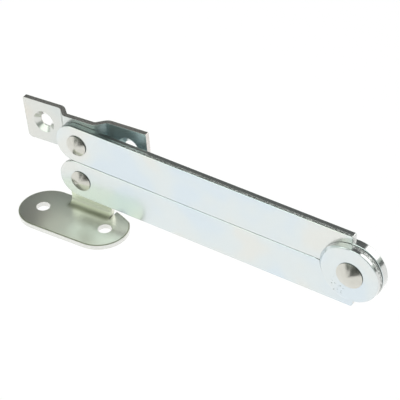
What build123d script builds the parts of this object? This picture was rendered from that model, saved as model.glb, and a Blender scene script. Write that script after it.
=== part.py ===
"""Lid stay in zinc-plated steel, folded shut.

Two flat arms lie edge to edge and turn on an elbow rivet. The lower arm's round ear is pressed
forward, out of the arm's plane, so that it laps over the upper arm's ear. A bracket shaped like a
shallow bridge is riveted behind the upper arm's free end, and an angle bracket with a round-ended
foot plate is riveted behind the lower arm's free end.

Axes: +X runs along the arms from the brackets to the elbow, +Z is up, and -Y is the front.
The origin is midway between the upper bracket's two screws, on the wall that it is screwed to.
Depths are distances in front of that wall, so a depth d lies at y = -d.
"""

import os
from math import cos, radians, sin, tan

from build123d import *

# Sheet and clearances
ARM_SHEET = 3.0  # thickness of both arms
BRACKET_SHEET = 2.0  # thickness of both brackets
PLAY = 0.2  # gap between two plates that turn on one rivet
HEAD_PLAY = 0.1  # gap under the end of a rivet that turns over a plate
RIVET_CLEARANCE = 0.05  # radial clearance of a rivet in its holes
EDGE_BREAK = 0.2  # blunting that barrelling leaves along the arms' front edges

# Arms
ARM_WIDTH = 15.85
ARM_GAP = 0.2  # between the two arms' facing edges
RIVET_SPAN = 120.0  # upper rivet to elbow rivet, along the arms
ELBOW_DROP = 6.7  # elbow rivet below the upper arm's centre line
UPPER_END_OVERHANG = 1.5  # upper arm's end arc centre, beyond its rivet
LOWER_END_OVERHANG = 1.7  # the same on the lower arm
FOOT_RIVET_INSET = 1.4  # foot rivet nearer the elbow than the upper rivet
FOOT_RIVET_DROP = 0.3  # foot rivet below the lower arm's centre line

# Elbow
UPPER_EAR_RADIUS = 12.0
LOWER_EAR_RADIUS = 11.6
UPPER_SHOULDER_SETBACK = 1.2  # end of the upper arm's straight edge, short of the elbow axis
LOWER_SHOULDER_REACH = 0.25  # end of the lower arm's straight edge, past the elbow axis
UPPER_SHOULDER_ROUND = 0.6
LOWER_SHOULDER_ROUND = 1.5
EAR_CLEARANCE = 0.2  # upper ear to the foot of the ramp behind the lower ear
RAMP_RUN = 2.6  # radial length of the ramp from the lower ear down to its arm
RAMP_BEND = 1.2  # rounding where the ramp starts and ends
RAMP_MARGIN = 0.7  # flat run that the ramp's section keeps beyond both of its bends
SKIRT_RADIUS = 12.2  # outline of the ear's sloping skirt, where the ramp runs on above the arm
SKIRT_SHIFT = 1.3  # its centre from the elbow axis, towards the arm's free end
SKIRT_DROP = 0.6  # and down

# Upper bracket
BRACKET_LEAN = 4.5  # degrees, elbow end up
BRACKET_LENGTH = 56.6
BRACKET_HEIGHT = 17.9
BRACKET_TOP_CORNER = 0.4
BRACKET_BOTTOM_CORNER = 1.8
BRACKET_SKEW = 2.4  # degrees that the strip's left end is cropped off square, top outwards
TAB_SETBACK = 3.7  # from the bridge's back face to the tabs' back faces
BRIDGE_HALF = 6.4  # half the bridge's flat length, on its back face
BRIDGE_RAMP = 3.8  # length along the bracket of each slope
BRIDGE_BEND = 0.8  # inside radius of the bends beside the bridge
TAB_BEND = 2.2  # inside radius of the bends beside the tabs
UPPER_RIVET_SHIFT = 0.4  # upper rivet past the bracket's middle, towards the elbow
UPPER_RIVET_DROP = 0.5  # and below it
SCREW_SPACING = 39.3
SCREW_HOLE_RADIUS = 2.6
SCREW_SINK_RADIUS = 4.7
SCREW_SINK_DEPTH = 1.6

# Foot bracket
FOOT_ROLL = 3.0  # degrees, elbow end up
FOOT_LENGTH = 47.4
FOOT_WIDTH = 23.0
FOOT_SHIFT = -1.3  # middle of the foot plate from the foot rivet, along the arm
FOOT_DROP = 14.7  # foot rivet down to the foot plate's top
FOOT_BACK_DEPTH = 2.4  # depth of the foot plate's back edge
FOOT_ARCH_RADIUS = 50.0  # shallow arch that eases the back edge into the elbow end
FOOT_ARCH_DEPTH = 0.5  # depth of the arch's crown, and the crown's place along the arm
FOOT_ARCH_SHIFT = -2.2
FOOT_EDGE_REACH = 0.45  # rolled-over top edge, across the plate and down its side
FOOT_EDGE_DROP = 0.2
FOOT_HOLE_SPACING = 29.0
FOOT_HOLE_RADIUS = 2.75
FLANGE_LEFT = 7.6  # flange's reach to either side of the foot rivet
FLANGE_RIGHT = 11.0
FLANGE_SHOULDER = 5.6  # height above the foot plate at which the flange starts to narrow
FLANGE_EAR_RADIUS = 6.5  # flange's round top, about the rivet
FLANGE_BEND = 2.6  # inside radius of the fold
RELIEF_WIDTH = 0.3  # slot beside the fold

# Rivets
END_SHANK_RADIUS = 2.5
END_HEAD_RADIUS = 4.3
END_HEAD_HEIGHT = 1.5
END_TAIL_RADIUS = 3.7
END_TAIL_HEIGHT = 1.2
ELBOW_SHANK_RADIUS = 3.0
ELBOW_HEAD_RADIUS = 5.35
ELBOW_HEAD_HEIGHT = 1.9
ELBOW_TAIL_RADIUS = 4.6
ELBOW_TAIL_HEIGHT = 1.5
HEAD_RIM = 0.3  # straight rim under a rivet's dome
DOME_FULLNESS = 0.61  # a dome's height half-way out, as a share of its whole height (0.5 is a cone)
DOME_FLAT = 0.35  # radius of the flat that the heading tool leaves at the dome's tip
TAIL_BREAK = 0.4  # chamfer round a rivet's tail

# Depths, from the wall forwards
bridge_back = TAB_SETBACK
bridge_front = bridge_back + BRACKET_SHEET
arm_back = bridge_front + PLAY
arm_front = arm_back + ARM_SHEET
ear_back = arm_front + PLAY
ear_front = ear_back + ARM_SHEET

# Rivet axes, as (x, z)
lean = radians(BRACKET_LEAN)
upper_rivet_at = (
    UPPER_RIVET_SHIFT * cos(lean) + UPPER_RIVET_DROP * sin(lean),
    UPPER_RIVET_SHIFT * sin(lean) - UPPER_RIVET_DROP * cos(lean),
)
lower_line = upper_rivet_at[1] - ARM_WIDTH - ARM_GAP
elbow_rivet_at = (upper_rivet_at[0] + RIVET_SPAN, upper_rivet_at[1] - ELBOW_DROP)
foot_rivet_at = (upper_rivet_at[0] + FOOT_RIVET_INSET, lower_line - FOOT_RIVET_DROP)


def sheet(outline, back, thickness):
    """A flat plate with this outline, from the depth of its back face forwards."""
    return extrude(Plane.XZ.offset(back) * outline, amount=thickness)


def turned(at, profile):
    """A solid turned about the rivet axis at (x, z), from a profile of (radius, depth)."""
    plane = Plane(origin=(at[0], 0, at[1]), x_dir=(1, 0, 0), z_dir=(0, 0, -1))
    return revolve(plane * profile, axis=Axis((at[0], 0, at[1]), (0, 1, 0)))


def swung(shape, at, degrees):
    """The shape turned about the axis at (x, z), elbow end up."""
    return shape.rotate(Axis((at[0], 0, at[1]), (0, -1, 0)), degrees)


def bar_outline(end_x, shoulder_x, line, side, corner_radius):
    """An arm's straight blank: a full round end, and a shoulder rounded above (1) or below (-1)."""
    straight = Rectangle(shoulder_x - end_x, ARM_WIDTH, align=(Align.MIN, Align.CENTER))
    blank = Pos(end_x, line) * straight
    shoulder = blank.vertices().sort_by_distance((shoulder_x, line + side * ARM_WIDTH / 2))[0]
    blank = fillet(shoulder, corner_radius)
    return blank + Pos(end_x, line) * Circle(ARM_WIDTH / 2)


def blunted(plate):
    """The plate with the edges of its front face blunted."""
    return chamfer(plate.faces().sort_by(Axis.Y)[0].outer_wire().edges(), EDGE_BREAK)


def make_upper_arm():
    end_x = upper_rivet_at[0] - UPPER_END_OVERHANG
    shoulder_x = elbow_rivet_at[0] - UPPER_SHOULDER_SETBACK
    outline = bar_outline(end_x, shoulder_x, upper_rivet_at[1], 1, UPPER_SHOULDER_ROUND)
    outline += Pos(*elbow_rivet_at) * Circle(UPPER_EAR_RADIUS)
    arm = blunted(sheet(outline, arm_back, ARM_SHEET))
    holes = Pos(*upper_rivet_at) * Circle(END_SHANK_RADIUS + RIVET_CLEARANCE)
    holes += Pos(*elbow_rivet_at) * Circle(ELBOW_SHANK_RADIUS + RIVET_CLEARANCE)
    return arm - sheet(holes, arm_back, ARM_SHEET)


def make_lower_arm():
    """The blank, with its ear pushed forward along a curved ramp that runs round the ear.

    The ramp carries on above the arm as a skirt, which dies out towards the ear's top.
    """
    end_x = foot_rivet_at[0] - LOWER_END_OVERHANG
    shoulder_x = elbow_rivet_at[0] + LOWER_SHOULDER_REACH
    outline = bar_outline(end_x, shoulder_x, lower_line, -1, LOWER_SHOULDER_ROUND)
    front_foot = LOWER_EAR_RADIUS + RAMP_RUN
    back_top = UPPER_EAR_RADIUS + EAR_CLEARANCE
    back_foot = back_top + RAMP_RUN
    inner = LOWER_EAR_RADIUS - RAMP_MARGIN
    outer = back_foot + RAMP_MARGIN
    section = make_face(
        Polyline(
            (inner, ear_back),
            (inner, ear_front),
            (LOWER_EAR_RADIUS, ear_front),
            (front_foot, arm_front),
            (outer, arm_front),
            (outer, arm_back),
            (back_foot, arm_back),
            (back_top, ear_back),
            close=True,
        )
    )
    bends = section.vertices().filter_by(lambda v: inner < v.X < outer)
    section = fillet(bends, RAMP_BEND)
    elbow = Pos(*elbow_rivet_at)
    skirt = elbow * Pos(-SKIRT_SHIFT, -SKIRT_DROP) * Circle(SKIRT_RADIUS)
    upper_left = Rectangle(2 * SKIRT_RADIUS, 2 * SKIRT_RADIUS, align=(Align.MAX, Align.MIN))
    skirt &= Pos(elbow_rivet_at[0], lower_line) * upper_left
    blank = sheet(outline, arm_back, ear_front - arm_back) + sheet(skirt, ear_back, ARM_SHEET)
    ramp = turned(elbow_rivet_at, section) & blank

    blade = blunted(sheet(outline, arm_back, ARM_SHEET))
    blade -= sheet(elbow * Circle(outer), arm_back, ARM_SHEET)
    ear = blunted(sheet(elbow * Circle(LOWER_EAR_RADIUS), ear_back, ARM_SHEET))
    ear_core = sheet(elbow * Circle(inner), ear_back, ARM_SHEET)
    arm = blade + ramp + (ear - blank) + ear_core

    foot_hole = Pos(*foot_rivet_at) * Circle(END_SHANK_RADIUS + RIVET_CLEARANCE)
    elbow_hole = elbow * Circle(ELBOW_SHANK_RADIUS + RIVET_CLEARANCE)
    return arm - sheet(foot_hole, arm_back, ARM_SHEET) - sheet(elbow_hole, ear_back, ARM_SHEET)


def make_upper_bracket():
    """A strip with two slopes that carry its middle clear of the wall, and a screw at each end."""
    slope = Vector(BRIDGE_RAMP, TAB_SETBACK).get_angle(Vector(1, 0))
    shift = BRACKET_SHEET * tan(radians(slope) / 2)
    inner = BRIDGE_HALF
    outer = BRIDGE_HALF + BRIDGE_RAMP
    end = BRACKET_LENGTH / 2
    top = BRACKET_HEIGHT / 2
    skew = top * tan(radians(BRACKET_SKEW))
    reach = end + skew
    bends = {
        (inner, bridge_back): BRIDGE_BEND,
        (inner + shift, bridge_front): BRIDGE_BEND + BRACKET_SHEET,
        (outer + shift, BRACKET_SHEET): TAB_BEND,
        (outer, 0): TAB_BEND + BRACKET_SHEET,
    }
    back_half = [(inner, bridge_back), (outer, 0), (reach, 0)]
    front_half = [(reach, BRACKET_SHEET), (outer + shift, BRACKET_SHEET), (inner + shift, bridge_front)]
    half = back_half + front_half
    mirrored = [(-x, depth) for x, depth in reversed(half)]
    section = make_face(Polyline(*half, *mirrored, close=True))
    for (x, depth), radius in bends.items():
        for side in (-1, 1):
            bend = section.vertices().sort_by_distance((side * x, depth))[0]
            section = fillet(bend, radius)
    plan = Plane(origin=(0, 0, -top), x_dir=(1, 0, 0), z_dir=(0, 0, -1))
    bent = extrude(plan * section, amount=-BRACKET_HEIGHT)
    corners = [(-reach, top), (end, top), (end, -top), (skew - end, -top)]
    cropped = make_face(Polyline(*corners, close=True))
    cropped = fillet(cropped.vertices().filter_by(lambda v: v.Y > 0), BRACKET_TOP_CORNER)
    cropped = fillet(cropped.vertices().filter_by(lambda v: v.Y < -top / 2), BRACKET_BOTTOM_CORNER)
    strip = bent & sheet(cropped, 0, bridge_front)

    bore = Cylinder(SCREW_HOLE_RADIUS, 2 * BRACKET_SHEET)
    to_front = (Align.CENTER, Align.CENTER, Align.MAX)
    sink = Cone(SCREW_HOLE_RADIUS, SCREW_SINK_RADIUS, SCREW_SINK_DEPTH, align=to_front)
    for side in (-1, 1):
        centre = Plane(origin=(side * SCREW_SPACING / 2, -BRACKET_SHEET, 0), z_dir=(0, -1, 0))
        strip -= centre * bore + centre * sink
    strip = swung(strip, (0, 0), BRACKET_LEAN)
    rivet_hole = Pos(*upper_rivet_at) * Circle(END_SHANK_RADIUS + RIVET_CLEARANCE)
    return strip - sheet(rivet_hole, bridge_back, BRACKET_SHEET)


def rolled_plate(outline, base):
    """A bracket sheet of this outline, with its upper edge rolled over by the punch."""
    plate = extrude(Pos(0, 0, base) * outline, amount=BRACKET_SHEET)
    upper_face = plate.faces().sort_by(Axis.Z)[-1]
    return chamfer(upper_face.edges(), FOOT_EDGE_REACH, FOOT_EDGE_DROP, reference=upper_face)


def make_foot_bracket():
    """A round-ended plate, with a flange folded up from its back edge between two relief slots."""
    x, z = foot_rivet_at
    top = z - FOOT_DROP
    base = top - BRACKET_SHEET
    middle_x = x + FOOT_SHIFT
    middle_y = -(FOOT_BACK_DEPTH + FOOT_WIDTH / 2)
    fold_start = bridge_front + FLANGE_BEND  # depth at which the flat plate turns into the fold

    stadium = Pos(middle_x, middle_y) * SlotOverall(FOOT_LENGTH, FOOT_WIDTH)
    arch_centre = (middle_x + FOOT_ARCH_SHIFT, -FOOT_ARCH_DEPTH - FOOT_ARCH_RADIUS)
    arch = Pos(*arch_centre) * Circle(FOOT_ARCH_RADIUS)
    plate = rolled_plate(stadium, base) & rolled_plate(arch, base)
    bore = Cylinder(FOOT_HOLE_RADIUS, 4 * BRACKET_SHEET)
    for side in (-1, 1):
        plate -= Pos(middle_x + side * FOOT_HOLE_SPACING / 2, middle_y, base) * bore
    left = x - FLANGE_LEFT
    right = x + FLANGE_RIGHT
    notch_width = right - left + 2 * RELIEF_WIDTH
    notch = Box(notch_width, fold_start, BRACKET_SHEET, align=(Align.CENTER, Align.MAX, Align.MIN))
    plate -= Pos((left + right) / 2, 0, base) * notch

    height = FOOT_DROP + BRACKET_SHEET + FLANGE_EAR_RADIUS
    lap = FLANGE_BEND
    section = make_face(
        Polyline(
            (-bridge_back, base),
            (-bridge_back, base + height),
            (-bridge_front, base + height),
            (-bridge_front, top),
            (-fold_start - lap, top),
            (-fold_start - lap, base),
            close=True,
        )
    )
    inside = section.vertices().sort_by_distance((-bridge_front, top))[0]
    section = fillet(inside, FLANGE_BEND)
    outside = section.vertices().sort_by_distance((-bridge_back, base))[0]
    section = fillet(outside, FLANGE_BEND + BRACKET_SHEET)
    fold = extrude(Plane.YZ.offset(left) * section, amount=right - left)

    shoulder = Rectangle(right - left, FLANGE_SHOULDER + BRACKET_SHEET, align=(Align.MIN, Align.MIN))
    ear = Pos(x, z) * Circle(FLANGE_EAR_RADIUS)
    flange_outline = make_hull((Pos(left, base) * shoulder).edges() + ear.edges())
    flange_depth = fold_start + lap
    foot = plate + (fold & sheet(flange_outline, 0, flange_depth))
    rivet_hole = Pos(x, z) * Circle(END_SHANK_RADIUS + RIVET_CLEARANCE)
    foot -= sheet(rivet_hole, bridge_back, BRACKET_SHEET)
    return swung(foot, foot_rivet_at, FOOT_ROLL)


def make_rivet(at, seat, tail_front, shank_radius, head, tail):
    """A low pointed dome in front of its seat, a shank, and a flat tail set behind tail_front."""
    head_radius, head_height = head
    tail_radius, tail_height = tail
    crown = seat + head_height
    rim = seat + HEAD_RIM
    half_way = rim + (crown - rim) * DOME_FULLNESS
    tail_back = tail_front - tail_height
    outline = Polyline(
        (DOME_FLAT, crown),
        (0, crown),
        (0, tail_back),
        (tail_radius, tail_back),
        (tail_radius, tail_front),
        (shank_radius, tail_front),
        (shank_radius, seat),
        (head_radius, seat),
        (head_radius, rim),
    )
    dome = ThreePointArc((head_radius, rim), (head_radius / 2, half_way), (DOME_FLAT, crown))
    section = make_face(outline + dome)
    tail_edge = section.vertices().sort_by_distance((tail_radius, tail_back))[0]
    return turned(at, chamfer(tail_edge, TAIL_BREAK))


end_head = (END_HEAD_RADIUS, END_HEAD_HEIGHT)
end_tail = (END_TAIL_RADIUS, END_TAIL_HEIGHT)
elbow_head = (ELBOW_HEAD_RADIUS, ELBOW_HEAD_HEIGHT)
elbow_tail = (ELBOW_TAIL_RADIUS, ELBOW_TAIL_HEIGHT)

pieces = {
    "upper_bracket": make_upper_bracket(),
    "upper_arm": make_upper_arm(),
    "lower_arm": make_lower_arm(),
    "foot_bracket": make_foot_bracket(),
    "upper_rivet": make_rivet(
        upper_rivet_at, arm_front + HEAD_PLAY, bridge_back, END_SHANK_RADIUS, end_head, end_tail
    ),
    "elbow_rivet": make_rivet(
        elbow_rivet_at, ear_front, arm_back - HEAD_PLAY, ELBOW_SHANK_RADIUS, elbow_head, elbow_tail
    ),
    "foot_rivet": make_rivet(
        foot_rivet_at, arm_front, bridge_back - HEAD_PLAY, END_SHANK_RADIUS, end_head, end_tail
    ),
}

os.makedirs("parts", exist_ok=True)
for name, solid in pieces.items():
    export_step(solid, f"parts/{name}.step")
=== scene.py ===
import math

import bpy
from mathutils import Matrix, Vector


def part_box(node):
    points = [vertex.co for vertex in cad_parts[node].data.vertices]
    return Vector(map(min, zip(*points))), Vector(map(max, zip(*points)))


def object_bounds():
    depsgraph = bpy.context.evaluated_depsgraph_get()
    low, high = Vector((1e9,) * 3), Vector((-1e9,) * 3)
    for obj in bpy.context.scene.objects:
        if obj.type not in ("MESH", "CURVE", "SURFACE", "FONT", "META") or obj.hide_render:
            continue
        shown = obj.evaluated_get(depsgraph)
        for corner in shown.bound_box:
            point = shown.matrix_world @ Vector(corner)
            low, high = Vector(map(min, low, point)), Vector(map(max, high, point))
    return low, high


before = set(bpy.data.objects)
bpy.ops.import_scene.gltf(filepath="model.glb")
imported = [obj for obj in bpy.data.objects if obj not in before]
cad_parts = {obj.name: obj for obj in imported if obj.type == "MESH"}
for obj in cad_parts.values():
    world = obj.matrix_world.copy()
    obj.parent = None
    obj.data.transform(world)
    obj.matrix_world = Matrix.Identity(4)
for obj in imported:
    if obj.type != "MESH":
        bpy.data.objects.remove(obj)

cad_low, cad_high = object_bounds()


# Upper arm. A flat blank of 3 mm cold-rolled steel with a full round end and a round elbow ear,
# punched out, its edges blunted, then bright zinc plated. It turns on the upper bracket's rivet.
MM = 0.001
ARM_SHEET = 3.0 * MM
ARM_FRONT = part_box("upper_arm")[0].y
ELBOW = sum(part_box("elbow_rivet"), Vector()) / 2
FACE_SLOPE = 0.55  # a surface is an edge where the cosine of its lean from the sheet is below this
TORN_SHARE = 0.42  # share of the sheet's thickness that tears instead of shearing
NOISE_LOW, NOISE_HIGH = 0.3, 0.7  # what a noise texture's values mostly lie between


def linear(hex_colour):
    """The linear RGBA of an sRGB hex colour."""
    parts = [int(hex_colour[i : i + 2], 16) / 255 for i in (1, 3, 5)]
    return [p / 12.92 if p <= 0.04045 else ((p + 0.055) / 1.055) ** 2.4 for p in parts] + [1.0]


def add(tree, kind, inputs, **settings):
    """A new node with its settings, and its inputs filled with values or linked to sockets."""
    node = tree.nodes.new(kind)
    for name, value in settings.items():
        setattr(node, name, value)
    for name, value in inputs.items():
        if isinstance(value, bpy.types.NodeSocket):
            tree.links.new(value, node.inputs[name])
        else:
            node.inputs[name].default_value = value
    return node


def new_material(name):
    """An empty node material and its tree."""
    material = bpy.data.materials.new(name)
    material.use_nodes = True
    material.node_tree.nodes.clear()
    return material, material.node_tree


def zinc_plated(name, seed, roughness, blunting, faces, edges, find_edges, marks_and_shade):
    """Bright zinc plate on rolled steel. The thin passive film gives the faces a cool mirror-like
    sheen with faint blue and straw patches. The punched edges are duller: find_edges gives where
    they are, and which band of them is torn and rough rather than sheared smooth.

    faces holds the plain, bluish and straw colours, edges the sheared, torn and painted-glint ones,
    and the last argument a place to find, its colour and its roughness: a real mark on some pieces,
    painted shade on others."""
    material, tree = new_material(name)
    coordinates = add(tree, "ShaderNodeTexCoord", {})
    place = coordinates.outputs["Object"]
    edge, torn = find_edges(tree, place, coordinates.outputs["Normal"])
    find_marks_and_shade, mark_and_shade_colour, mark_and_shade_roughness = marks_and_shade
    marked_and_shaded = find_marks_and_shade(tree, place, coordinates.outputs["Normal"])

    # The film's tint drifts over two or three centimetres, and its haze over a millimetre or two.
    patch_size = 24 * MM
    mottle_size = 1.6 * MM
    plain_level, blue_level, straw_level = 0.50, 0.66, 0.34
    tint_strength = 0.6
    offset = (0.031 * seed, 0.017 * seed, 0.023 * seed)
    spot = add(tree, "ShaderNodeVectorMath", {0: place, 1: offset}).outputs[0]
    patches = add(
        tree, "ShaderNodeTexNoise", {"Vector": spot, "Scale": 1 / patch_size, "Detail": 2.0}
    )
    mottle = add(
        tree, "ShaderNodeTexNoise", {"Vector": spot, "Scale": 1 / mottle_size, "Detail": 4.0}
    )
    colour = linear(faces[0])
    for tint, level in ((faces[1], blue_level), (faces[2], straw_level)):
        share = add(
            tree, "ShaderNodeMapRange",
            {"Value": patches.outputs[0], "From Min": plain_level, "From Max": level,
             "To Max": tint_strength},
            interpolation_type="SMOOTHSTEP",
        )
        colour = add(
            tree, "ShaderNodeMix",
            {0: share.outputs[0], 6: colour, 7: linear(tint)}, data_type="RGBA"
        ).outputs[2]

    # The torn steel's glints are painted: bright specks of colour here and there. Real tears are
    # too fine to show, so these are drawn as coarse as they need to be.
    tear_size = 0.6 * MM
    glint_from, glint_full = 0.44, 0.62
    tears = add(
        tree, "ShaderNodeTexNoise",
        {"Vector": spot, "Scale": 1 / tear_size, "Detail": 6.0, "Roughness": 0.7}
    )
    glint = add(
        tree, "ShaderNodeMapRange",
        {"Value": tears.outputs[0], "From Min": glint_from, "From Max": glint_full},
    )
    grit_and_glints = add(
        tree, "ShaderNodeMix", {0: glint.outputs[0], 6: linear(edges[1]), 7: linear(edges[2])},
        data_type="RGBA",
    )
    sheared = add(
        tree, "ShaderNodeMix", {0: torn, 6: linear(edges[0]), 7: grit_and_glints.outputs[2]}, data_type="RGBA"
    )
    for share, tint in ((edge, sheared.outputs[2]), (marked_and_shaded, linear(mark_and_shade_colour))):
        colour = add(
            tree, "ShaderNodeMix", {0: share, 6: colour, 7: tint}, data_type="RGBA"
        ).outputs[2]

    haze = 0.035
    sheared_roughness = 0.14
    torn_roughness = 0.5
    dull = add(
        tree, "ShaderNodeMapRange",
        {"Value": mottle.outputs[0], "From Min": NOISE_LOW, "From Max": NOISE_HIGH,
         "To Min": roughness - haze, "To Max": roughness + haze},
    ).outputs[0]
    for share, value in (
        (edge, sheared_roughness), (torn, torn_roughness), (marked_and_shaded, mark_and_shade_roughness),
    ):
        dull = add(
            tree, "ShaderNodeMix", {0: share, 2: dull, 3: value}, data_type="FLOAT"
        ).outputs[0]

    # The sheet has a slow ripple, and the torn band is rough.
    metallic = 0.86
    ripple_size = 7 * MM
    ripple_depth = 0.012 * MM
    tear_depth = 0.22 * MM
    ripple = add(
        tree, "ShaderNodeTexNoise", {"Vector": spot, "Scale": 1 / ripple_size, "Detail": 1.0}
    )
    softened = add(tree, "ShaderNodeBevel", {"Radius": blunting}, samples=6)
    waved = add(
        tree, "ShaderNodeBump",
        {"Height": ripple.outputs[0], "Distance": ripple_depth, "Strength": 1.0,
         "Normal": softened.outputs[0]},
    )
    tear_height = add(tree, "ShaderNodeMath", {0: tears.outputs[0], 1: torn}, operation="MULTIPLY")
    torn_bump = add(
        tree, "ShaderNodeBump",
        {"Height": tear_height.outputs[0], "Distance": tear_depth, "Strength": 1.0,
         "Normal": waved.outputs[0]},
    )
    surface = add(
        tree, "ShaderNodeBsdfPrincipled",
        {"Base Color": colour, "Metallic": metallic, "Roughness": dull,
         "Normal": torn_bump.outputs[0]},
    )
    add(tree, "ShaderNodeOutputMaterial", {"Surface": surface.outputs[0]})
    return material


def dress(node, material):
    """The CAD piece keeps its shape and takes this finish."""
    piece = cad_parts[node]
    piece.data.materials.clear()
    piece.data.materials.append(material)


def rim(tree, normal):
    """The edges of a sheet that stands across y."""
    lean = add(tree, "ShaderNodeVectorMath", {0: normal, 1: (0, 1, 0)}, operation="DOT_PRODUCT")
    lean = add(tree, "ShaderNodeMath", {0: lean.outputs["Value"]}, operation="ABSOLUTE")
    return add(
        tree, "ShaderNodeMath", {0: lean.outputs[0], 1: FACE_SLOPE}, operation="LESS_THAN"
    ).outputs[0]


def arm_edges(torn_bands):
    """An arm's edges, and the bands of them that tore, each as the y of its middle, its width, and
    the side of the elbow's centre on which it tore (1 or -1)."""
    soft = 0.1 * ARM_SHEET  # half the width over which a band's border fades
    fade_before, fade_after = 1 * MM, 3 * MM  # a band fades in over this, about the elbow's centre

    def find(tree, place, normal):
        edge = rim(tree, normal)
        across = add(tree, "ShaderNodeSeparateXYZ", {0: place})
        torn = 0.0
        for middle, width, side in torn_bands:
            away = add(
                tree, "ShaderNodeMath", {0: across.outputs["Y"], 1: middle}, operation="SUBTRACT"
            )
            away = add(tree, "ShaderNodeMath", {0: away.outputs[0]}, operation="ABSOLUTE")
            band = add(
                tree, "ShaderNodeMapRange",
                {"Value": away.outputs[0], "From Min": width / 2 - soft,
                 "From Max": width / 2 + soft, "To Min": 1.0, "To Max": 0.0},
            )
            beyond = add(
                tree, "ShaderNodeMapRange",
                {"Value": across.outputs["X"], "From Min": ELBOW.x - side * fade_before,
                 "From Max": ELBOW.x + side * fade_after},
            )
            band = add(
                tree, "ShaderNodeMath",
                {0: band.outputs[0], 1: beyond.outputs[0]}, operation="MULTIPLY"
            )
            torn = add(
                tree, "ShaderNodeMath", {0: torn, 1: band.outputs[0]}, operation="MAXIMUM"
            ).outputs[0]
        return edge, add(
            tree, "ShaderNodeMath", {0: torn, 1: edge}, operation="MULTIPLY"
        ).outputs[0]
    return find


def shaded_round_end(tree, place, normal):
    """Painted shade: the rim of the round end is drawn grey and dark, standing in for the dark it
    mirrors in the gap behind it."""
    bright_from, grey_to = 22 * MM, 14 * MM
    x = add(tree, "ShaderNodeSeparateXYZ", {0: place}).outputs["X"]
    near = add(
        tree, "ShaderNodeMapRange", {"Value": x, "From Min": bright_from, "From Max": grey_to}
    )
    grey = add(
        tree, "ShaderNodeMath", {0: rim(tree, normal), 1: near.outputs[0]}, operation="MULTIPLY"
    )
    return grey.outputs[0]


ARM_ROUGHNESS = 0.2
ARM_BLUNTING = 0.3 * MM
ARM_FACES = ("#C8CECF", "#C0CBD4", "#CFCDC6")
# Edge colours: sheared, torn, and the painted glints of the torn band.
ARM_EDGES = ("#BFC0BE", "#7C7F7C", "#EEEEEC")
torn_front = (ARM_FRONT + TORN_SHARE / 2 * ARM_SHEET, TORN_SHARE * ARM_SHEET, -1)
# The grey mark on the round end's rim is painted shade.
dress("upper_arm", zinc_plated(
    "bright zinc plate, upper arm", 1, ARM_ROUGHNESS, ARM_BLUNTING, ARM_FACES, ARM_EDGES,
    arm_edges([torn_front]), (shaded_round_end, "#7A8483", 0.2),
))


# Lower arm. The same 3 mm blank with its round ear pushed forward by the thickness of the sheet,
# so that it laps in front of the upper arm's ear. The ear's rim is smooth at its front and torn at
# its back.
EAR_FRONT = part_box("lower_arm")[0].y
torn_ear = (EAR_FRONT + 0.75 * ARM_SHEET, 0.5 * ARM_SHEET, 1)


def scuffs(tree, place, normal):
    """A few small scuffs in one spot beside the elbow's head. What made them isn't known."""
    scuff_size = 1.0 * MM
    scuff_from, scuff_full, scuff_strength = 0.6, 0.68, 0.7
    spot_edge, spot_core = 5.5 * MM, 3 * MM
    spot_middle = (ELBOW.x - 6 * MM, EAR_FRONT, ELBOW.z - 7.8 * MM)
    away = add(
        tree, "ShaderNodeVectorMath", {0: place, 1: spot_middle}, operation="DISTANCE"
    ).outputs["Value"]
    near = add(
        tree, "ShaderNodeMapRange", {"Value": away, "From Min": spot_edge, "From Max": spot_core}
    )
    grains = add(
        tree, "ShaderNodeTexNoise", {"Vector": place, "Scale": 1 / scuff_size, "Detail": 2.0}
    )
    grain = add(
        tree, "ShaderNodeMapRange",
        {"Value": grains.outputs[0], "From Min": scuff_from, "From Max": scuff_full,
         "To Max": scuff_strength},
    )
    scuffed = add(
        tree, "ShaderNodeMath", {0: near.outputs[0], 1: grain.outputs[0]}, operation="MULTIPLY"
    )
    return scuffed.outputs[0]


dress("lower_arm", zinc_plated(
    "bright zinc plate, lower arm", 2, ARM_ROUGHNESS, ARM_BLUNTING, ARM_FACES, ARM_EDGES,
    arm_edges([torn_front, torn_ear]), (scuffs, "#8E9492", 0.5),
))


# Upper bracket. A 2 mm strip, cropped, pierced, countersunk and pressed into a shallow bridge.
# Its tabs sit on the wall, and its middle carries the upper arm's rivet.
GRIT_SHARE = 0.3  # how much of the torn grit shows all over a cropped edge


def strip_edges(tree, place, normal):
    """The bracket's cropped edges, with the torn grit sprinkled all over them."""
    edge = rim(tree, normal)
    return edge, add(
        tree, "ShaderNodeMath", {0: edge, 1: GRIT_SHARE}, operation="MULTIPLY"
    ).outputs[0]


def shaded_end(tree, place, normal):
    """The bracket's front side from the rivet to the right end, which looks blue-green. That is
    probably light tinted as it bounces in the gap behind the arm, and not a coating. It is drawn
    as a colour of the plate, so it stays when the arm swings clear, where the real tint may not."""
    plain_to, shaded_from = 2 * MM, 10 * MM
    x = add(tree, "ShaderNodeSeparateXYZ", {0: place}).outputs["X"]
    shaded = add(
        tree, "ShaderNodeMapRange", {"Value": x, "From Min": plain_to, "From Max": shaded_from}
    )
    facing = add(tree, "ShaderNodeSeparateXYZ", {0: normal}).outputs["Y"]
    front = add(
        tree, "ShaderNodeMapRange",
        {"Value": facing, "From Min": 0.1 - FACE_SLOPE, "From Max": -FACE_SLOPE}
    )
    dark = add(
        tree, "ShaderNodeMath", {0: shaded.outputs[0], 1: front.outputs[0]}, operation="MULTIPLY"
    )
    return dark.outputs[0]


dress("upper_bracket", zinc_plated(
    "bright zinc plate, upper bracket", 3, 0.22, 0.15 * MM,
    ("#C6C7C3", "#BFC5C4", "#CAC5BD"), ("#C8C2BE", "#B9B4B0", "#E4E2DE"),
    strip_edges, (shaded_end, "#AFC0BF", 0.22),
))


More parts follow.
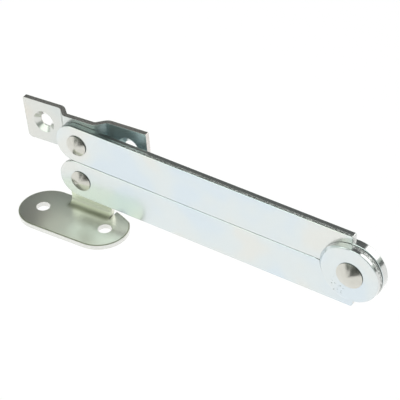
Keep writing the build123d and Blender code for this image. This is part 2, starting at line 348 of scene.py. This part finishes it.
# Foot bracket. A 2 mm plate with round ends, punched out, its flange folded up between two slots.
# The flange carries the foot rivet, and the plate is screwed down.
FOOT_ROLL = math.radians(3)
FOOT_NORMAL = Vector((-math.sin(FOOT_ROLL), 0, math.cos(FOOT_ROLL)))
PLATE_FRONT = cad_low.y + 8 * MM  # in front of this there is only the plate, and no flange
NECK_FROM, NECK_TO = 1.5 * MM, 3 * MM  # above the plate's top, where the flange is narrow
foot_points = [Vector(v.co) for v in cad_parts["foot_bracket"].data.vertices]
FOOT_TOP = max(p.dot(FOOT_NORMAL) for p in foot_points if p.y < PLATE_FRONT)
FOOT_NECK = [
    p for p in foot_points if FOOT_TOP + NECK_FROM < p.dot(FOOT_NORMAL) < FOOT_TOP + NECK_TO
]


def foot_edges(tree, place, normal):
    """The foot plate's punched rim: its sides stand up, and lie below the plate's top."""
    clear = 0.05 * MM  # how far below the plate's top its rim starts
    lean = add(tree, "ShaderNodeVectorMath", {0: normal, 1: FOOT_NORMAL}, operation="DOT_PRODUCT")
    lean = add(tree, "ShaderNodeMath", {0: lean.outputs["Value"]}, operation="ABSOLUTE")
    upright = add(
        tree, "ShaderNodeMath", {0: lean.outputs[0], 1: FACE_SLOPE}, operation="LESS_THAN"
    )
    height = add(tree, "ShaderNodeVectorMath", {0: place, 1: FOOT_NORMAL}, operation="DOT_PRODUCT")
    low = add(
        tree, "ShaderNodeMath",
        {0: height.outputs["Value"], 1: FOOT_TOP - clear}, operation="LESS_THAN"
    )
    edge = add(
        tree, "ShaderNodeMath", {0: upright.outputs[0], 1: low.outputs[0]}, operation="MULTIPLY"
    )
    torn = add(tree, "ShaderNodeMath", {0: edge.outputs[0], 1: GRIT_SHARE}, operation="MULTIPLY")
    return edge.outputs[0], torn.outputs[0]


def shaded_bends(tree, place, normal):
    """Painted shade: the inside of the flange's fold and the plate's rolled-over top edge are drawn
    dull and olive, for the dark they mirror. A press tool may have rubbed them, or they may only
    mirror something dark."""
    fold_edge, fold_core = 3.4 * MM, 0.8 * MM  # how far from the fold's line the dullness fades out
    fold_inset = 1.5 * MM  # how far the fold's line stops short of the flange's sides
    # Cosines of the lean from the plate's top, for the edge and for what faces up at all.
    rolled_from, rolled_full, lying_from = 0.97, 0.94, 0.7
    middle = sum(p.x for p in FOOT_NECK) / len(FOOT_NECK)
    half = max(abs(p.x - middle) for p in FOOT_NECK)
    fold_y = min(p.y for p in FOOT_NECK) - 1.4 * MM
    fold_height = FOOT_TOP + 0.2 * MM
    axes = add(tree, "ShaderNodeSeparateXYZ", {0: place})
    y = add(tree, "ShaderNodeMath", {0: axes.outputs["Y"], 1: fold_y}, operation="SUBTRACT")
    height = add(tree, "ShaderNodeVectorMath", {0: place, 1: FOOT_NORMAL}, operation="DOT_PRODUCT")
    height = add(
        tree, "ShaderNodeMath", {0: height.outputs["Value"], 1: fold_height}, operation="SUBTRACT"
    )
    x = add(tree, "ShaderNodeMath", {0: axes.outputs["X"], 1: middle}, operation="SUBTRACT")
    x = add(tree, "ShaderNodeMath", {0: x.outputs[0]}, operation="ABSOLUTE")
    x = add(tree, "ShaderNodeMath", {0: x.outputs[0], 1: half - fold_inset}, operation="SUBTRACT")
    x = add(tree, "ShaderNodeMath", {0: x.outputs[0], 1: 0.0}, operation="MAXIMUM")
    away = add(
        tree, "ShaderNodeCombineXYZ", {0: x.outputs[0], 1: y.outputs[0], 2: height.outputs[0]}
    )
    away = add(tree, "ShaderNodeVectorMath", {0: away.outputs[0]}, operation="LENGTH")
    fold = add(
        tree, "ShaderNodeMapRange",
        {"Value": away.outputs["Value"], "From Min": fold_edge, "From Max": fold_core},
        interpolation_type="SMOOTHSTEP",
    )
    lean = add(tree, "ShaderNodeVectorMath", {0: normal, 1: FOOT_NORMAL}, operation="DOT_PRODUCT")
    lean = lean.outputs["Value"]
    rolled = add(
        tree, "ShaderNodeMapRange",
        {"Value": lean, "From Min": rolled_from, "From Max": rolled_full}
    )
    lying = add(tree, "ShaderNodeMath", {0: lean, 1: lying_from}, operation="GREATER_THAN")
    rolled = add(
        tree, "ShaderNodeMath", {0: rolled.outputs[0], 1: lying.outputs[0]}, operation="MULTIPLY"
    )
    dull = add(
        tree, "ShaderNodeMath", {0: fold.outputs[0], 1: rolled.outputs[0]}, operation="MAXIMUM"
    )
    return dull.outputs[0]


# The olive mark in the flange's fold and along the plate's top edge is painted shade.
dress("foot_bracket", zinc_plated(
    "bright zinc plate, foot bracket", 4, 0.315, 0.05 * MM,
    ("#DBDBD1", "#D2D5CC", "#DED9D0"), ("#CDCDC9", "#C2C2BE", "#DCDCD8"),
    foot_edges, (shaded_bends, "#9EA18E", 0.5),
))


# Rivets. Steel, zinc plated, headed cold: the domes are satin from the forming tool, warmer and
# darker than the sheets. The heads' short sides are drawn much darker: painted shade, for the dark
# line around each head where it meets the sheet. The heads' short sides look darker still and have
# a colour of their own, though what darkens them isn't known.
DOME_COLOURS = ("#B4B3AB", "#C6C5BE")
SIDE_SHADE_COLOUR = "#474B46"
SIDE_FULL, SIDE_TO = 0.35, 0.6  # cosines of the lean from the dome's top, between which it fades


def headed_steel(name, seed, at, roughness):
    """Cold-headed zinc-plated steel: a satin dome, faintly clouded, with small shallow dents."""
    cloud_size = 1.5 * MM
    dent_size = 1.6 * MM
    dent_depth = 0.03 * MM
    haze = 0.04
    metallic = 0.93
    material, tree = new_material(name)
    coordinates = add(tree, "ShaderNodeTexCoord", {})
    centred = add(
        tree, "ShaderNodeVectorMath",
        {0: coordinates.outputs["Object"], 1: at}, operation="SUBTRACT"
    ).outputs[0]
    cloud = add(
        tree, "ShaderNodeTexNoise",
        {"Vector": centred, "Scale": 1 / cloud_size, "Detail": 3.0, "W": seed},
        noise_dimensions="4D",
    )
    colour = add(
        tree, "ShaderNodeMix",
        {0: cloud.outputs[0], 6: linear(DOME_COLOURS[0]), 7: linear(DOME_COLOURS[1])},
        data_type="RGBA",
    )
    slope = add(tree, "ShaderNodeSeparateXYZ", {0: coordinates.outputs["Normal"]}).outputs["Y"]
    slope = add(tree, "ShaderNodeMath", {0: slope}, operation="ABSOLUTE")
    # Painted shade: the heads' short sides are drawn dark.
    side = add(
        tree, "ShaderNodeMapRange",
        {"Value": slope.outputs[0], "From Min": SIDE_FULL, "From Max": SIDE_TO,
         "To Min": 1.0, "To Max": 0.0},
    )
    colour = add(
        tree, "ShaderNodeMix", {0: side.outputs[0], 6: colour.outputs[2], 7: linear(SIDE_SHADE_COLOUR)},
        data_type="RGBA",
    )
    dull = add(
        tree, "ShaderNodeMapRange",
        {"Value": cloud.outputs[0], "From Min": NOISE_LOW, "From Max": NOISE_HIGH,
         "To Min": roughness - haze, "To Max": roughness + haze},
    )
    dents = add(
        tree, "ShaderNodeTexNoise",
        {"Vector": centred, "Scale": 1 / dent_size, "Detail": 2.0, "W": seed},
        noise_dimensions="4D",
    )
    bump = add(
        tree, "ShaderNodeBump",
        {"Height": dents.outputs[0], "Distance": dent_depth, "Strength": 1.0}
    )
    surface = add(
        tree, "ShaderNodeBsdfPrincipled",
        {"Base Color": colour.outputs[2], "Metallic": metallic, "Roughness": dull.outputs[0],
         "Normal": bump.outputs[0]},
    )
    add(tree, "ShaderNodeOutputMaterial", {"Surface": surface.outputs[0]})
    return material


for seed, rivet in enumerate(("upper_rivet", "foot_rivet", "elbow_rivet")):
    centre = sum(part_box(rivet), Vector()) / 2
    dress(rivet, headed_steel(f"cold-headed zinc-plated steel, {rivet}", seed, centre, 0.2))


# Floor. A wide sheet of white paper, far enough below that the stay throws only a faint shadow.
FLOOR_HALF = 6.0
FLOOR_DROP = 0.16
GLOW_SHARE = 0.85  # the share of the paper that reads as plain white, and takes no shadow
paper, tree = new_material("white paper")
path = add(tree, "ShaderNodeLightPath", {})
seen = add(
    tree, "ShaderNodeMath", {0: path.outputs["Is Camera Ray"], 1: path.outputs["Is Glossy Ray"]},
    operation="MAXIMUM",
)
share = add(tree, "ShaderNodeMath", {0: seen.outputs[0], 1: GLOW_SHARE}, operation="MULTIPLY")
matt = add(tree, "ShaderNodeBsdfDiffuse", {"Color": linear("#F7F7F6")})
white = add(tree, "ShaderNodeEmission", {"Color": linear("#FFFFFF"), "Strength": 1.0})
mixed = add(
    tree, "ShaderNodeMixShader", {0: share.outputs[0], 1: matt.outputs[0], 2: white.outputs[0]}
)
add(tree, "ShaderNodeOutputMaterial", {"Surface": mixed.outputs[0]})
bpy.ops.mesh.primitive_plane_add(size=2 * FLOOR_HALF, location=(0, 0, cad_low.z - FLOOR_DROP))
floor = bpy.context.object
floor.name = "floor"
floor.data.materials.append(paper)
floor.visible_glossy = False


# Reflector. A small lit card stands behind the foot bracket, brighter towards its elbow end, so
# that the foot plate does not mirror only the dark ceiling. Only mirrored rays meet it.
CARD_SIZE = (57 * MM, 20 * MM)
CARD_CENTRE = (-13.5 * MM, 20 * MM, 6 * MM)
CARD_STRENGTHS = (0.6, 1.4)
card_white, tree = new_material("lit white card")
along = add(tree, "ShaderNodeTexCoord", {}).outputs["Object"]
along = add(tree, "ShaderNodeSeparateXYZ", {0: along}).outputs["X"]
lit = add(
    tree, "ShaderNodeMapRange",
    {"Value": along, "From Min": -0.5, "From Max": 0.3,
     "To Min": CARD_STRENGTHS[0], "To Max": CARD_STRENGTHS[1]},
)
glow = add(tree, "ShaderNodeEmission", {"Color": linear("#F4FFF6"), "Strength": lit.outputs[0]})
add(tree, "ShaderNodeOutputMaterial", {"Surface": glow.outputs[0]})
bpy.ops.mesh.primitive_plane_add(size=1.0, location=CARD_CENTRE, rotation=(math.pi / 2, 0, 0))
card = bpy.context.object
card.name = "reflector_card"
card.scale = (*CARD_SIZE, 1.0)
card.data.materials.append(card_white)
card.visible_camera = False
card.visible_diffuse = False
card.visible_transmission = False
card.visible_shadow = False


# Studio. White all round to the eye. What the plated steel mirrors is a white sweep below, a pale
# room above it, and the screens and panels that give bare metal its dark and bright lines.
SWEEP_STRENGTH = 1.33
scene = bpy.context.scene
world = bpy.data.worlds.new("studio")
scene.world = world
world.use_nodes = True
tree = world.node_tree
tree.nodes.clear()


def lit_colour(colour, strength):
    """The linear RGBA of an sRGB hex colour, as bright as this strength makes it."""
    return [strength * part for part in linear(colour)[:3]] + [1.0]


direction = add(tree, "ShaderNodeTexCoord", {}).outputs["Generated"]
height = add(tree, "ShaderNodeSeparateXYZ", {0: direction}).outputs["Z"]
above = add(tree, "ShaderNodeMapRange", {"Value": height, "From Min": -0.02, "From Max": 0.05})
shade = add(
    tree, "ShaderNodeMix",
    {0: above.outputs[0], 6: lit_colour("#FFFFFF", SWEEP_STRENGTH), 7: linear("#DEE8E1")},
    data_type="RGBA",
).outputs[2]
screens = (
    # towards, half-width and softness in degrees, colour, strength
    ((-0.30, -0.75, 0.58), 32, 6, "#F6FFF6", 2.0),  # large soft panel, front left
    ((-0.40, 0.45, 0.80), 41, 7, "#34383A", 1.0),  # dark ceiling
    ((0.44, 0.66, 0.61), 20, 3, "#FFFFFF", 2.8),  # small soft panel, right
    ((0.73, 0.66, 0.08), 6, 2, "#404448", 1.0),  # its stand
    ((0.10, -1.0, 0.0), 21, 3, "#2E302B", 1.0),  # the dark end of the room
    ((-0.42, -0.90, -0.02), 8, 4, "#3C463B", 1.0),  # and its green corner
)
for towards, half_width, softness, colour, strength in screens:
    aim = Vector(towards).normalized()
    closeness = add(tree, "ShaderNodeVectorMath", {0: direction, 1: aim}, operation="DOT_PRODUCT")
    inside = add(
        tree, "ShaderNodeMapRange",
        {"Value": closeness.outputs["Value"],
         "From Min": math.cos(math.radians(half_width + softness)),
         "From Max": math.cos(math.radians(half_width - softness))},
        interpolation_type="SMOOTHSTEP",
    )
    shade = add(
        tree, "ShaderNodeMix", {0: inside.outputs[0], 6: shade, 7: lit_colour(colour, strength)},
        data_type="RGBA",
    ).outputs[2]
to_eye = add(tree, "ShaderNodeLightPath", {}).outputs["Is Camera Ray"]
sight = add(tree, "ShaderNodeMix", {0: to_eye, 6: shade, 7: linear("#FFFFFF")}, data_type="RGBA")
background = add(tree, "ShaderNodeBackground", {"Color": sight.outputs[2], "Strength": 1.0})
add(tree, "ShaderNodeOutputWorld", {"Surface": background.outputs[0]})


# Lamps. Two square softboxes that face the stay. They light the paper and the matt share of the
# finishes, and mirrored rays don't meet them.
for name, place, size, watts in (
    # name, place in metres, size in metres, watts
    ("key_light", (-0.9, -0.9, 0.8), 0.8, 10.0),
    ("top_light", (0.5, -0.2, 1.3), 0.8, 4.0),
):
    lamp = bpy.data.lights.new(name, "AREA")
    lamp.size = size
    lamp.energy = watts
    holder = bpy.data.objects.new(name, lamp)
    holder.location = place
    holder.rotation_mode = "QUATERNION"
    holder.rotation_quaternion = (-Vector(place)).to_track_quat("-Z", "Y")
    holder.visible_glossy = False
    scene.collection.objects.link(holder)


# Camera. A long lens, to the right of the stay and above it.
AIM = Vector((65.5, -24.3, 11.8)) * MM
DISTANCE = 731 * MM
AZIMUTH = math.radians(32.4)
ELEVATION = math.radians(38.85)
back = Vector((
    math.sin(AZIMUTH) * math.cos(ELEVATION), -math.cos(AZIMUTH) * math.cos(ELEVATION),
    math.sin(ELEVATION),
))
lens = bpy.data.cameras.new("camera")
lens.sensor_width = 36.0
lens.lens = 185.0
lens.clip_start = 0.01
lens.clip_end = 50.0
camera = bpy.data.objects.new("camera", lens)
camera.location = AIM + back * DISTANCE
camera.rotation_mode = "QUATERNION"
camera.rotation_quaternion = (-back).to_track_quat("-Z", "Y")
scene.collection.objects.link(camera)
scene.camera = camera
scene.view_settings.view_transform = "Standard"
